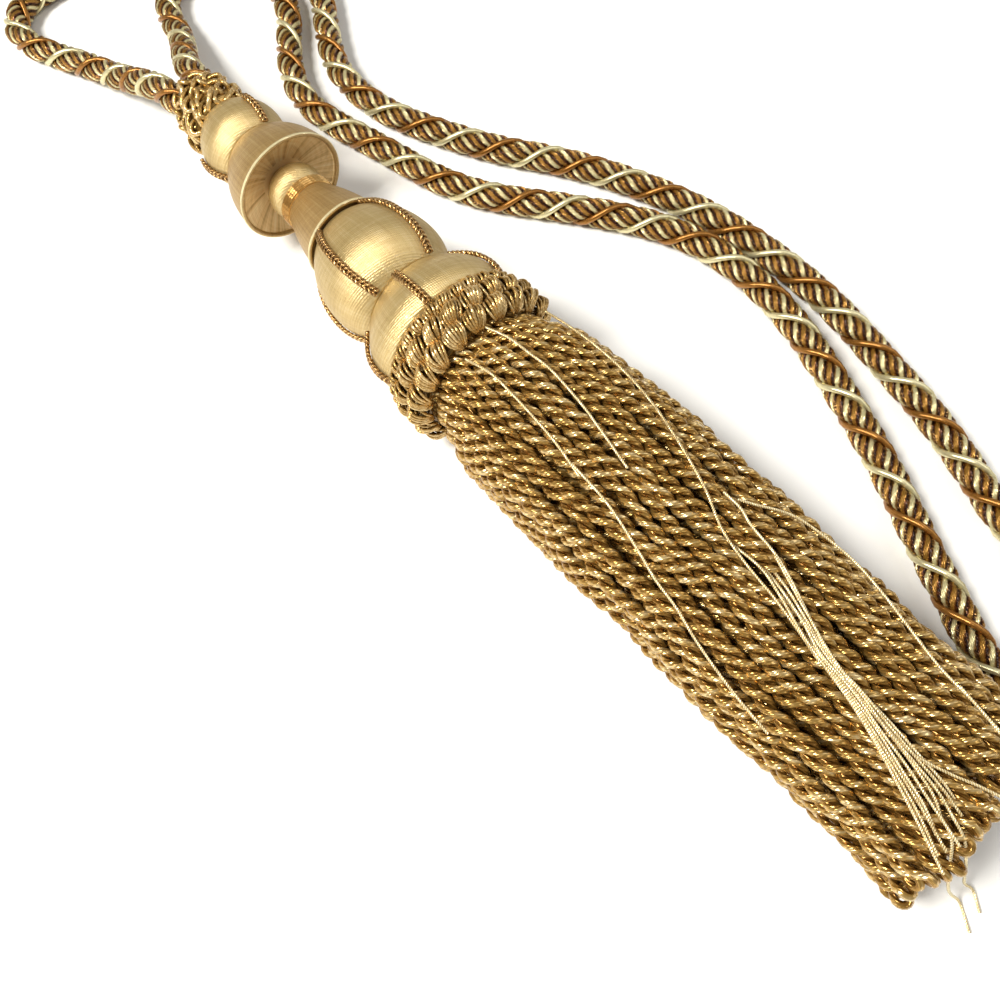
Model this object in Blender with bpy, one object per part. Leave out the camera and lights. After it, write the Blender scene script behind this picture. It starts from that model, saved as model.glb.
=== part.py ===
"""A curtain tieback tassel lying on a flat surface, with the loop of rope that embraces the curtain.

The tassel's long axis runs along X: the head, of turned moulds wound in satin thread, points
to -X, and the skirt of bullion cords to +X. The origin is under the middle of the tassel, on the
surface that it lies on, with +Z up. Sizes are in metres.
"""

import math

import bmesh
import bpy
import numpy as np

# ---- driving dimensions -------------------------------------------------------------------
HALF_LENGTH = 0.17925          # half of the tassel, from the top ruff to the ends of the skirt
AXIS_Y = -0.0030               # the head lies a little to one side of the skirt's middle
AXIS_Z = 0.0270                # height of the head's axis over the surface
GAP = 0.0003                   # running gap between pieces that touch
TURNS = 28                     # facets round a turned piece

BALL_1_CENTRE, BALL_1_RADIUS = -0.14755, 0.0159
BALL_1_END = -0.13825
SAUCER_LENGTH, SAUCER_RADIUS = 0.0256, 0.0206
SAUCER_START, SAUCER_RIM = -0.13795, -0.11825
SAUCER_HOLLOW = 0.0050         # how deep the saucer is dished below
BEAD_CENTRE, BEAD_RADIUS, BEAD_HALF = -0.11560, 0.0103, 0.0082
BEAD_END = -0.11020
RING_START, RING_END, RING_RADIUS = -0.10990, -0.10580, 0.0104
BELL_START, BELL_RIM = -0.10550, -0.08570
BELL_NECK_RADIUS, BELL_RIM_RADIUS, BELL_BULGE = 0.0098, 0.0158, 0.0005
BELL_LIP = 0.0009
BALL_2_CENTRE, BALL_2_RADIUS = -0.06355, 0.0223
BALL_2_START, BALL_2_END = -0.08540, -0.04950

# The base dome's section: station along X, radius
DOME = (
    (-0.0492, 0.0162), (-0.0487, 0.0180), (-0.0450, 0.0214), (-0.0400, 0.0245),
    (-0.0350, 0.0258), (-0.0315, 0.0257), (-0.0290, 0.0250), (-0.0286, 0.0232),
    (-0.0230, 0.0232),
)

# The top ruff's outer side: station along X, radius to the loops' crowns
TOP_RUFF = (
    (-0.17925, 0.0112), (-0.1765, 0.0126), (-0.1720, 0.0129), (-0.1675, 0.0137),
    (-0.1630, 0.0145), (-0.1590, 0.0146),
)
TOP_RUFF_LOOPS, TOP_RUFF_RELIEF = 14, 0.0009

# The rows of loops sewn round the skirt's head: name, station, half width, inner radius,
# outer radius, number of loops, height of their relief
RUFF_ROWS = (
    ("ruff_small_row", -0.0264, 0.0017, 0.0239, 0.0268, 30, 0.0005),
    ("ruff_upper_row", -0.0211, 0.0028, 0.0239, 0.0278, 22, 0.0009),
    ("ruff_lower_row", -0.0146, 0.0028, 0.0239, 0.0282, 22, 0.0009),
)

# Thin twisted cords laid over the moulds: mould, number, first angle in degrees from +Y, start, end
OVERLAYS = (
    ("ball_1", 3, 62.0, -0.1500, -0.1388),
    ("ball_2", 5, 57.5, -0.0830, -0.0512),
    ("dome", 5, 104.0, -0.0470, -0.0292),
)
OVERLAY_RADIUS = 0.0011
BALLS = {"ball_1": (BALL_1_CENTRE, BALL_1_RADIUS), "ball_2": (BALL_2_CENTRE, BALL_2_RADIUS)}

# The rope: its route over the surface as x, y, height of its centre, in millimetres, from the
# head round to the head again
ROPE_DIAMETER = 0.0112
ROPE_GROOVE = 0.0010           # how deep the two grooves between its strands are
ROPE_PITCH = 0.033             # length of one whole turn of its two strands
ROPE_STEP = 0.0055             # length of one facet along it
REST = 5.7                     # centre height of a rope that lies on the surface, in millimetres
ROPE_ROUTE_MM = (
    (-179.8, -9.3, 27), (-187, -9.3, 26.8), (-197, -9.8, 25), (-209, -11, 20.5),
    (-222, -12, 14.5),
    (-236, -14, 9.5), (-252, -18, 6.8), (-268, -24, REST), (-283, -29, REST),
    (-297, -28, REST), (-307, -17, REST), (-309, -2, REST), (-305, 15, REST),
    (-298, 33, REST), (-291, 51, REST), (-281, 68, REST), (-266, 80.5, REST),
    (-248, 86, REST), (-230, 84, REST), (-216, 78, REST), (-204, 71, REST),
    (-192, 64, REST), (-178, 57.5, REST), (-162, 54.8, REST), (-148, 55.5, REST),
    (-135, 58.5, REST), (-113, 67, REST), (-94.6, 76, REST), (-80, 85, REST),
    (-66, 92.5, REST), (-51, 99, REST), (-35, 104.5, REST), (-18, 108.8, REST),
    (0, 111, REST), (18, 111.6, REST), (36, 110.5, REST), (54, 107.5, REST),
    (70, 104, REST), (86, 100.5, REST), (101, 96, REST), (115, 91, REST),
    (129, 86, REST), (146, 83, REST), (164, 84.5, REST), (182, 85.5, REST),
    (197, 79, REST), (204.5, 65, REST), (199, 50, REST), (185, 42.5, REST),
    (170, 41.5, REST), (157, 44, REST), (146, 47.8, REST), (134, 53.5, REST),
    (122, 59, REST), (110, 65, REST), (97, 71.5, REST), (83, 77.8, REST),
    (68, 83.8, REST), (52, 89.8, REST), (36, 94.8, REST), (18, 98.2, REST),
    (0, 98.5, REST), (-16, 95.8, REST), (-31, 89.8, REST), (-46, 81, REST),
    (-60, 71.5, REST), (-74, 61.5, REST), (-87, 53.8, REST), (-104, 47.5, REST),
    (-121, 44.0, REST), (-138, 40.5, REST), (-152, 37.5, REST), (-165, 36, REST),
    (-178, 37.8, REST), (-190.5, 43, REST), (-203, 51, REST), (-214, 59, REST),
    (-226, 65.3, REST), (-240, 68.3, REST), (-254, 65.5, REST), (-265, 57, REST),
    (-270.5, 44, REST), (-266, 31.5, REST), (-254, 24, REST), (-241, 20.5, 7.5),
    (-228, 16, 11.5), (-215, 10.5, 17), (-203, 6, 22), (-195, 4, 25),
    (-187, 3.3, 26.8), (-179.8, 3.3, 27),
)

# The skirt's outline: station along X, half width, top, bottom, sideways place of its middle
SKIRT_SECTIONS = (
    (-0.0180, 0.0217, 0.0487, 0.0053, AXIS_Y),
    (-0.0095, 0.0225, 0.0495, 0.0045, AXIS_Y),
    (0.0060, 0.0285, 0.0535, 0.0000, -0.0012),
    (0.0500, 0.0302, 0.0510, 0.0000, 0.0006),
    (0.1150, 0.0300, 0.0450, 0.0000, 0.0013),
    (HALF_LENGTH, 0.0295, 0.0400, 0.0000, 0.0022),
)
# Each layer of cords: share of the outline, number of cords, sides, half width at the root,
# half width at the free end
SKIRT_LAYERS = (
    (1.00, 38, 4, 0.00125, 0.00172),
    (0.70, 23, 4, 0.00135, 0.00190),
    (0.40, 11, 4, 0.00140, 0.00200),
)
SKIRT_STATIONS = (-0.0180, -0.0095, 0.0015, 0.0200, 0.0550, 0.0950, 0.1350, HALF_LENGTH)
SKIRT_UNEVEN = 0.0035          # how unevenly the cords end
SKIRT_SLANT = 0.0060           # how much shorter the cords on the +Y side are than the others
SKIRT_SETTLE = 0.00015         # an edge this near the surface lies flat on it
HEADER_START, HEADER_END, HEADER_RADIUS = -0.0226, -0.0112, 0.0230

SATIN = ((0.80, 0.62, 0.34), 0.35)
GIMP = ((0.52, 0.38, 0.16), 0.45)
COPPER_CORD = ((0.45, 0.24, 0.10), 0.45)
ROPE_YARN = ((0.62, 0.42, 0.20), 0.50)
BULLION = ((0.50, 0.36, 0.14), 0.45)
BRAID = ((0.60, 0.40, 0.15), 0.30)


def clear_scene():
    """Remove every object that the file starts with."""
    for item in list(bpy.data.objects):
        bpy.data.objects.remove(item, do_unlink=True)


def finish(name, looks):
    """Make a Principled material from a colour and a roughness."""
    colour, roughness = looks
    material = bpy.data.materials.new(name)
    material.use_nodes = True
    shader = material.node_tree.nodes["Principled BSDF"]
    shader.inputs["Base Color"].default_value = (*colour, 1.0)
    shader.inputs["Roughness"].default_value = roughness
    return material


def add_object(name, vertices, faces, looks):
    """Put vertices and faces in a new object, with its faces turned outwards."""
    work = bmesh.new()
    points = [work.verts.new(vertex) for vertex in vertices]
    for face in faces:
        work.faces.new([points[index] for index in face])
    bmesh.ops.recalc_face_normals(work, faces=work.faces)
    mesh = bpy.data.meshes.new(name)
    work.to_mesh(mesh)
    work.free()
    mesh.shade_smooth()
    mesh.set_sharp_from_angle(angle=math.radians(40))
    item = bpy.data.objects.new(name, mesh)
    item.data.materials.append(finish(name + "_finish", looks))
    bpy.context.scene.collection.objects.link(item)
    return item


def rows_to_faces(rows, columns, first=0):
    """Quads of a grid of rows whose columns close on themselves."""
    faces = []
    for row in range(rows - 1):
        for column in range(columns):
            after = (column + 1) % columns
            low, high = first + row * columns, first + (row + 1) * columns
            faces.append((low + column, low + after, high + after, high + column))
    return faces


def round_axis(x, radius, angle):
    """A point round the head's axis; one that would sink into the surface rests on it."""
    height = max(AXIS_Z + radius * math.sin(angle), 0.0)
    return (x, AXIS_Y + radius * math.cos(angle), height)


def turned(name, section, looks, turns=TURNS, relief=None):
    """Turn a section of (x, radius) round the head's axis; the two ends close on the axis.

    relief(row, angle) is added to the radius, for loops and ribs.
    """
    vertices = []
    for row, (x, radius) in enumerate(section):
        for turn in range(turns):
            angle = 2 * math.pi * turn / turns
            raised = relief(row, angle) if relief else 0.0
            vertices.append(round_axis(x, radius + raised, angle))
    faces = rows_to_faces(len(section), turns)
    last = len(vertices) - turns
    vertices.append((section[0][0], AXIS_Y, AXIS_Z))
    vertices.append((section[-1][0], AXIS_Y, AXIS_Z))
    start, end = len(vertices) - 2, len(vertices) - 1
    for turn in range(turns):
        after = (turn + 1) % turns
        faces.append((start, after, turn))
        faces.append((end, last + turn, last + after))
    return add_object(name, vertices, faces, looks)


def ball_section(centre, radius, start, end, steps):
    """Stations of a ball between two flats, spaced by equal angles."""
    first = math.acos(max(-1.0, min(1.0, (start - centre) / radius)))
    last = math.acos(max(-1.0, min(1.0, (end - centre) / radius)))
    angles = np.linspace(first, last, steps)
    return [(centre + radius * math.cos(a), radius * math.sin(a)) for a in angles]


def saucer_section():
    """A quarter of an ellipse outside, a thin rim, and a dished underside."""
    section = []
    for x in np.linspace(SAUCER_START, SAUCER_RIM, 7):
        share = (SAUCER_RIM - x) / SAUCER_LENGTH
        section.append((x, SAUCER_RADIUS * math.sqrt(1 - share * share)))
    rim = SAUCER_RADIUS - 0.0008
    for share in (1.0, 0.85, 0.7, 0.57):
        depth = SAUCER_HOLLOW * (1 - share ** 2)
        section.append((SAUCER_RIM + 0.0003 - depth, rim * share))
    return section


def bead_section():
    """Half an ellipse, cut square where the ring sits."""
    start = SAUCER_RIM + 0.0003 - SAUCER_HOLLOW * (1 - 0.5 ** 2) + 0.0012
    section = []
    for x in np.linspace(start, BEAD_END, 7):
        share = (x - BEAD_CENTRE) / BEAD_HALF
        section.append((x, BEAD_RADIUS * math.sqrt(max(1 - share * share, 0.0))))
    return section


def ring_section():
    """A band with a waisted outer side."""
    shares = np.linspace(0.0, 1.0, 5)
    middle = RING_RADIUS - 0.0006
    return [
        (RING_START + s * (RING_END - RING_START), middle + 0.0006 * (2 * s - 1) ** 2)
        for s in shares
    ]


def bell_section():
    """A cone with a slight bulge, and a lip round its rim."""
    section = []
    for share in np.linspace(0.0, 1.0, 6):
        x = BELL_START + share * (BELL_RIM - BELL_LIP - BELL_START)
        straight = BELL_NECK_RADIUS + share * (BELL_RIM_RADIUS - BELL_NECK_RADIUS)
        section.append((x, straight + BELL_BULGE * math.sin(math.pi * share)))
    section.append((BELL_RIM, BELL_RIM_RADIUS + 0.0004))
    section.append((BELL_RIM + 0.0002, BELL_RIM_RADIUS - 0.0006))
    section.append((BELL_RIM, BELL_RIM_RADIUS - 0.0016))
    return section


def make_moulds():
    """The turned moulds of the head, one after the other along the axis."""
    turned("upper_ball", ball_section(
        BALL_1_CENTRE, BALL_1_RADIUS, BALL_1_CENTRE - 0.98 * BALL_1_RADIUS, BALL_1_END, 10), SATIN)
    turned("saucer", saucer_section(), SATIN)
    turned("neck_bead", bead_section(), SATIN)
    turned("neck_ring", ring_section(), BRAID)
    turned("bell", bell_section(), SATIN)
    turned("middle_ball", ball_section(
        BALL_2_CENTRE, BALL_2_RADIUS, BALL_2_START, BALL_2_END, 12), SATIN)
    turned("base_dome", DOME, SATIN)



def make_top_ruff():
    """The ruff of looped thread round the rope, its lower end cupped over the upper ball."""
    cup = BALL_1_RADIUS + 0.0006
    seat = [
        (BALL_1_CENTRE - cup * math.cos(a), cup * math.sin(a))
        for a in np.radians((50, 35, 18))
    ]

    def loops(row, angle):
        if row >= len(TOP_RUFF):
            return 0.0
        return TOP_RUFF_RELIEF * math.cos(TOP_RUFF_LOOPS * angle + math.pi * row)

    turned("top_ruff", list(TOP_RUFF) + seat, GIMP, 3 * TOP_RUFF_LOOPS, loops)


def looped_row(name, station, half, inner, outer, loops, relief):
    """A ring with a flat inner side and a rounded outer side, raised into loops."""
    columns = 3 * loops
    vertices = []
    for column in range(columns):
        angle = 2 * math.pi * column / columns
        bump = relief * math.cos(loops * angle)
        crown = outer + bump
        shoulder = inner + 0.6 * (outer - inner) + bump
        side = half + 0.3 * bump
        for x, reach in (
            (-side, inner), (-side, shoulder), (-0.45 * side, crown),
            (0.45 * side, crown), (side, shoulder), (side, inner),
        ):
            vertices.append(round_axis(station + x, reach, angle))
    faces = []
    for column in range(columns):
        low, high = 6 * column, 6 * ((column + 1) % columns)
        for corner in range(6):
            after = (corner + 1) % 6
            faces.append((low + corner, low + after, high + after, high + corner))
    return add_object(name, vertices, faces, GIMP)


def mould_radius(mould, x):
    """Radius of a mould's surface at a station."""
    if mould == "dome":
        return float(np.interp(x, [row[0] for row in DOME], [row[1] for row in DOME]))
    centre, ball = BALLS[mould]
    return math.sqrt(ball ** 2 - (x - centre) ** 2)


def overlay_cord(name, mould, angle, start, end):
    """A thin cord along a mould's meridian, a hair above its surface."""
    steps, sides = 9, 6
    lift = OVERLAY_RADIUS + GAP
    across = np.array((0.0, -math.sin(angle), math.cos(angle)))
    vertices = []
    for x in np.linspace(start, end, steps):
        slope = (mould_radius(mould, x + 0.001) - mould_radius(mould, x - 0.001)) / 0.002
        outward = np.array((-slope, math.cos(angle), math.sin(angle))) / math.hypot(1.0, slope)
        centre = np.array(round_axis(x, mould_radius(mould, x), angle)) + lift * outward
        for side in range(sides):
            turn = 2 * math.pi * side / sides
            offset = math.cos(turn) * outward + math.sin(turn) * across
            vertices.append(tuple(centre + OVERLAY_RADIUS * offset))
    faces = rows_to_faces(steps, sides)
    faces.append(tuple(range(sides)))
    faces.append(tuple((steps - 1) * sides + side for side in reversed(range(sides))))
    return add_object(name, vertices, faces, COPPER_CORD)


def smooth_route(points, step):
    """Points at equal steps on a smooth curve through a route (a centripetal Catmull-Rom curve)."""
    points = np.asarray(points, float)
    ends = (2 * points[0] - points[1], 2 * points[-1] - points[-2])
    padded = np.vstack((ends[0], points, ends[1]))
    dense = []
    for index in range(1, len(padded) - 2):
        a, b, c, d = padded[index - 1:index + 3]
        knots = np.cumsum([0.0] + [np.linalg.norm(q - p) ** 0.5 for p, q in ((a, b), (b, c), (c, d))])
        for t in np.linspace(knots[1], knots[2], 12, endpoint=False):
            ab = ((knots[1] - t) * a + (t - knots[0]) * b) / (knots[1] - knots[0])
            bc = ((knots[2] - t) * b + (t - knots[1]) * c) / (knots[2] - knots[1])
            cd = ((knots[3] - t) * c + (t - knots[2]) * d) / (knots[3] - knots[2])
            left = ((knots[2] - t) * ab + (t - knots[0]) * bc) / (knots[2] - knots[0])
            right = ((knots[3] - t) * bc + (t - knots[1]) * cd) / (knots[3] - knots[1])
            dense.append(((knots[2] - t) * left + (t - knots[1]) * right) / (knots[2] - knots[1]))
    dense.append(points[-1])
    dense = np.array(dense)
    along = np.concatenate(([0.0], np.cumsum(np.linalg.norm(np.diff(dense, axis=0), axis=1))))
    count = max(int(round(along[-1] / step)), 2)
    wanted = np.linspace(0.0, along[-1], count + 1)
    return np.column_stack([np.interp(wanted, along, dense[:, axis]) for axis in range(3)])


def make_rope():
    """The embrace: one rope of two fat strands, with a groove on each side between them."""
    route = smooth_route([(x / 1000, y / 1000, z / 1000) for x, y, z in ROPE_ROUTE_MM], ROPE_STEP)
    sides = 8
    step = float(np.linalg.norm(route[1] - route[0]))
    crown, valley = ROPE_DIAMETER / 2, ROPE_DIAMETER / 2 - ROPE_GROOVE
    tangents = np.gradient(route, axis=0)
    vertices = []
    for index, (centre, tangent) in enumerate(zip(route, tangents)):
        tangent = tangent / np.linalg.norm(tangent)
        side = np.cross((0.0, 0.0, 1.0), tangent)
        side = side / np.linalg.norm(side)
        up = np.cross(tangent, side)
        twist = 2 * math.pi * index * step / ROPE_PITCH
        for corner in range(sides):
            angle = twist + 2 * math.pi * corner / sides
            reach = valley if corner % 4 == 2 else crown
            offset = reach * (math.sin(angle) * side + math.cos(angle) * up)
            vertices.append(tuple(centre + offset))
    faces = rows_to_faces(len(route), sides)
    faces.append(tuple(range(sides)))
    faces.append(tuple((len(route) - 1) * sides + corner for corner in reversed(range(sides))))
    return add_object("embrace_rope", vertices, faces, ROPE_YARN)


def skirt_outline(station, share, half):
    """Closed outline of one layer of cords at a station: flat below, round above."""
    stations = [section[0] for section in SKIRT_SECTIONS]
    width, top, bottom, middle = (
        float(np.interp(station, stations, [section[column] for section in SKIRT_SECTIONS]))
        for column in (1, 2, 3, 4)
    )
    flatness = float(np.interp(station, (-0.0095, 0.0060), (2.0, 3.4)))
    angle = np.linspace(-math.pi / 2, 1.5 * math.pi, 361)
    power = np.where(np.sin(angle) < 0, 2.0 / flatness, 2.0 / 2.1)
    across = np.sign(np.cos(angle)) * np.abs(np.cos(angle)) ** power
    upward = np.sign(np.sin(angle)) * np.abs(np.sin(angle)) ** power
    centre = (top + bottom) / 2
    reach_y = (width - half) * share
    reach_z = ((top - bottom) / 2 - half) * share
    return middle + reach_y * across, centre + reach_z * upward


def skirt_cords(share, count, sides, root_half, end_half, rng):
    """Vertices and faces of one layer of cords, evenly spaced round the skirt's outline."""
    rings = []
    for station in SKIRT_STATIONS:
        grow = (station - SKIRT_STATIONS[0]) / (0.02 - SKIRT_STATIONS[0])
        half = root_half + (end_half - root_half) * min(grow, 1.0)
        y, z = skirt_outline(station, share, half)
        along = np.concatenate(([0.0], np.cumsum(np.hypot(np.diff(y), np.diff(z)))))
        wanted = (np.arange(count) + 0.5) / count * along[-1]
        ring_y, ring_z = np.interp(wanted, along, y), np.interp(wanted, along, z)
        step = along[-1] / 400
        run_y = np.interp(wanted + step, along, y) - np.interp(wanted - step, along, y)
        run_z = np.interp(wanted + step, along, z) - np.interp(wanted - step, along, z)
        rings.append((station, ring_y, ring_z, np.arctan2(run_z, run_y), half))
    vertices, faces = [], []
    sideways = np.clip((rings[-1][1] / SKIRT_SECTIONS[-1][1] + 0.4) / 1.4, 0.0, 1.0)
    shorter = rng.uniform(0.0, SKIRT_UNEVEN, count) + SKIRT_SLANT * sideways
    shorter[count - 2] = 0.0
    corners = np.arange(sides) * 2 * math.pi / sides + math.pi / sides - math.pi / 2
    for cord in range(count):
        first = len(vertices)
        for station, ring_y, ring_z, lean, half in rings:
            x = station - (shorter[cord] if station == HALF_LENGTH else 0.0)
            reach = half / math.sin(math.pi / sides)
            for corner in corners:
                angle = corner + lean[cord]
                y = ring_y[cord] + reach * math.cos(angle)
                z = ring_z[cord] + reach * math.sin(angle)
                vertices.append((x, y, z if z > SKIRT_SETTLE else 0.0))
        faces += rows_to_faces(len(rings), sides, first)
        faces.append(tuple(first + corner for corner in range(sides)))
        last = first + (len(rings) - 1) * sides
        faces.append(tuple(last + corner for corner in reversed(range(sides))))
    return vertices, faces


def make_skirt():
    """The skirt: layers of hanging cords, their roots fused into the wound header."""
    rng = np.random.default_rng(7)
    vertices, faces = [], []
    for layer in SKIRT_LAYERS:
        more_vertices, more_faces = skirt_cords(*layer, rng)
        faces += [tuple(index + len(vertices) for index in face) for face in more_faces]
        vertices += more_vertices
    cords = add_object("cords", vertices, faces, BULLION)
    header = turned("skirt", (
        (HEADER_START, HEADER_RADIUS), (HEADER_END, HEADER_RADIUS)), BULLION)
    union = header.modifiers.new("roots", "BOOLEAN")
    union.operation = "UNION"
    union.solver = "EXACT"
    union.object = cords
    cords.hide_render = True
    cords.display_type = "WIRE"


def main():
    clear_scene()
    make_moulds()
    make_top_ruff()
    for row in RUFF_ROWS:
        looped_row(*row)
    for mould, count, first, start, end in OVERLAYS:
        for index in range(count):
            angle = math.radians(first + 360.0 * index / count)
            overlay_cord(f"{mould}_cord_{index + 1}", mould, angle, start, end)
    make_rope()
    make_skirt()


main()
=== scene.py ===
# %% [markdown]
# # A curtain tieback tassel
#
# A tieback tassel is passementerie: turned wooden moulds wound in satin thread, ruffs of
# looped gimp, a skirt of bullion cords, and a loop of thick rope that holds the curtain.
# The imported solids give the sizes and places, and each step dresses one part of them. Two
# sizes differ a little from the solids, and say so where they are set.

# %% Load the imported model
import math

import bpy
import numpy as np
from mathutils import Matrix


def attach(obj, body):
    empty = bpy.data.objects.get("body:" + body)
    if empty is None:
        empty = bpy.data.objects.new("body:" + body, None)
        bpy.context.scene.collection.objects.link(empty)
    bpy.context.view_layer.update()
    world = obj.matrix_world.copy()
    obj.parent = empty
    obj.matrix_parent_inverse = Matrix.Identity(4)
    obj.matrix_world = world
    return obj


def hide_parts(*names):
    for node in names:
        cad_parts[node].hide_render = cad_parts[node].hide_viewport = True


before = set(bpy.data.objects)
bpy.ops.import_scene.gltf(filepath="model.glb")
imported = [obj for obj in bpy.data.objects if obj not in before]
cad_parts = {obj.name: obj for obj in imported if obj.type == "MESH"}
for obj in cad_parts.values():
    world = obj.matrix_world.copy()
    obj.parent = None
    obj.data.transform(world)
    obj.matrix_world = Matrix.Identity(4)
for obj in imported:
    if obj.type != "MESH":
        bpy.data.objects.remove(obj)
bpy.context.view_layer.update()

MM = 0.001
print("nodes:", len(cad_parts))

# %% [markdown]
# ## Camera
#
# The tassel is looked down on from its near side. A camera could be aimed with a constraint,
# but its place and two of its axes, in the model's own frame, fix the view with no doubt.

# %% Camera
CAMERA_PLACE = (0.13245, -0.10430, 0.29640)
CAMERA_RIGHT = (0.6596, 0.7496, -0.0556)
CAMERA_FORWARD = (-0.3571, 0.2474, -0.9007)
SENSOR_MM, LENS_MM = 36.0, 35.96
NEAREST_SEEN = 0.01


def unit(vectors):
    """Each vector divided by its length."""
    vectors = np.asarray(vectors, float)
    return vectors / np.linalg.norm(vectors, axis=-1, keepdims=True)


def stand(thing, across, upward, back, place):
    """Bring an object into the scene by its three axes and its place."""
    turn = np.eye(4)
    turn[:3] = np.stack((across, upward, back, place), -1)
    bpy.context.scene.collection.objects.link(thing)
    thing.matrix_world = Matrix(turn.tolist())


forward = unit(CAMERA_FORWARD)
right = unit(CAMERA_RIGHT - np.dot(CAMERA_RIGHT, forward) * forward)
lens = bpy.data.cameras.new("camera")
lens.sensor_width, lens.lens = SENSOR_MM, LENS_MM
lens.clip_start = NEAREST_SEEN
camera = bpy.data.objects.new("camera", lens)
stand(camera, right, np.cross(right, forward), -forward, CAMERA_PLACE)
bpy.context.scene.camera = camera
print("camera at", CAMERA_PLACE)

# %% [markdown]
# ## Helpers: a tube is rings of points along a line
#
# Nearly everything on a tassel is thread, cord or a turned form. Blender can make these from
# bevelled curves, but yarns, plies and each cord's own shade are easier to set in an array.
# So each is a stack of closed rings. One function turns rings into a mesh piece; another puts
# a ring round each point of a line, or of many lines at once.

# %% Distance along a line
def distance_along(line):
    """Distance of each point of a line, or of each of many lines, from its own start."""
    steps = np.linalg.norm(np.diff(line, axis=-2), axis=-1)
    return np.concatenate((np.zeros((*steps.shape[:-1], 1)), np.cumsum(steps, axis=-1)), axis=-1)


# %% The faces and the thread map of a stack of rings
def ring_faces(tubes, rows, columns):
    """Corner numbers of the quads between rings, and of the two flat ends of each tube."""
    tube, row, column = np.meshgrid(
        np.arange(tubes), np.arange(rows - 1), np.arange(columns), indexing="ij")

    def corner(down, aside):
        return (tube * rows + row + down) * columns + (column + aside) % columns

    quads = np.stack((corner(0, 0), corner(0, 1), corner(1, 1), corner(1, 0)), -1)
    first = np.arange(tubes)[:, None] * rows * columns + np.arange(columns)
    starts, ends = first[:, ::-1], first + (rows - 1) * columns
    return quads.reshape(-1, 4), np.vstack((starts, ends))


def ring_uv(rings):
    """u is the share of the way round a ring; v is the distance along the tube in millimetres."""
    tubes, rows, columns = rings.shape[:3]
    along = distance_along(rings.mean(axis=2)) / MM
    u0 = np.broadcast_to(np.arange(columns) / columns, (tubes, rows - 1, columns))
    low = np.broadcast_to(along[:, :-1, None], u0.shape)
    high = np.broadcast_to(along[:, 1:, None], u0.shape)
    u1 = u0 + 1.0 / columns
    return np.stack((u0, low, u1, low, u1, high, u0, high), -1).reshape(-1, 2)


# %% From rings to a finished piece
def piece(name, parts, material, nodes=()):
    """A mesh piece of one or more arrays of rings, each (tubes, rows, columns, 3), in metres.

    Every face points outwards: a part's rings are turned round where the sum of
    (p - middle) x (next p - middle) . tangent is below zero. Each tube also carries a number
    from 0 to 1, "shade", for small differences of dye.
    """
    vertices, corners, sizes, uvs, shades = [], [], [], [], []
    count = 0
    for number, rings in enumerate(parts):
        rings = np.asarray(rings, float)
        middle = rings.mean(axis=2, keepdims=True)
        along = np.gradient(middle, axis=1)
        spin = np.cross(rings - middle, np.roll(rings, -1, axis=2) - middle)
        if (spin * along).sum() < 0:
            rings = np.roll(rings[:, :, ::-1], 1, axis=2)
        tubes, rows, columns = rings.shape[:3]
        quads, ends = ring_faces(tubes, rows, columns)
        vertices.append(rings.reshape(-1, 3))
        corners += [quads.ravel() + count, ends.ravel() + count]
        sizes += [np.full(len(quads), 4), np.full(len(ends), columns)]
        uvs += [ring_uv(rings), np.zeros((ends.size, 2))]
        seed = np.random.default_rng(number + tubes)
        shades.append(np.repeat(seed.random(tubes), rows * columns))
        count += rings.size // 3
    vertices, corners, sizes = (np.concatenate(x) for x in (vertices, corners, sizes))
    mesh = bpy.data.meshes.new(name)
    mesh.vertices.add(len(vertices))
    mesh.vertices.foreach_set("co", vertices.ravel())
    mesh.loops.add(len(corners))
    mesh.loops.foreach_set("vertex_index", corners.astype(np.int32))
    mesh.polygons.add(len(sizes))
    starts = np.concatenate(([0], np.cumsum(sizes)[:-1]))
    mesh.polygons.foreach_set("loop_start", starts.astype(np.int32))
    mesh.update(calc_edges=True)
    layer = mesh.uv_layers.new(name="thread")
    layer.data.foreach_set("uv", np.concatenate(uvs).ravel())
    shade = mesh.attributes.new("shade", "FLOAT", "POINT")
    shade.data.foreach_set("value", np.concatenate(shades))
    mesh.polygons.foreach_set("use_smooth", np.ones(len(sizes), bool))
    mesh.validate()
    made = bpy.data.objects.new(name, mesh)
    bpy.context.scene.collection.objects.link(made)
    made.data.materials.append(material)
    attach(made, "root")
    if nodes:
        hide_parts(*nodes)
    triangles = int((sizes - 2).sum())
    print(f"{name}: {triangles} triangles")
    return made


# %% Lines to rings
def line_frame(line):
    """Tangent, left-hand side and up of a line that never runs straight up."""
    tangent = unit(np.gradient(line, axis=-2))
    side = unit(np.cross((0.0, 0.0, 1.0), tangent))
    return tangent, side, np.cross(tangent, side)


def tube(line, outward, section):
    """Rings round a line. section holds each ring's points as (outward, across) distances."""
    tangent = unit(np.gradient(line, axis=-2))
    across = unit(np.cross(tangent, outward))
    outward = np.cross(across, tangent)
    return (
        line[..., None, :]
        + section[..., 0:1] * outward[..., None, :]
        + section[..., 1:2] * across[..., None, :]
    )


def round_section(radius, sides):
    """A circle of so many points."""
    angle = np.arange(sides) * 2 * np.pi / sides
    return radius * np.stack((np.cos(angle), np.sin(angle)), -1)


def wound(line, side, up, radius, angle):
    """A line wound round another at a radius and an angle, and the way out from the axis."""
    outward = np.sin(angle)[..., None] * side + np.cos(angle)[..., None] * up
    return line + np.asarray(radius)[..., None] * outward, outward


# %% [markdown]
# ## Materials
#
# All the thread is rayon: long, smooth, bright filaments. An image of thread would blur close
# by and stretch over a ball, so every finish is worked out on the piece's own thread map,
# where u goes round a tube and v along it in millimetres. A pattern then follows each cord
# round its bends, at the real size of its threads.

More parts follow.
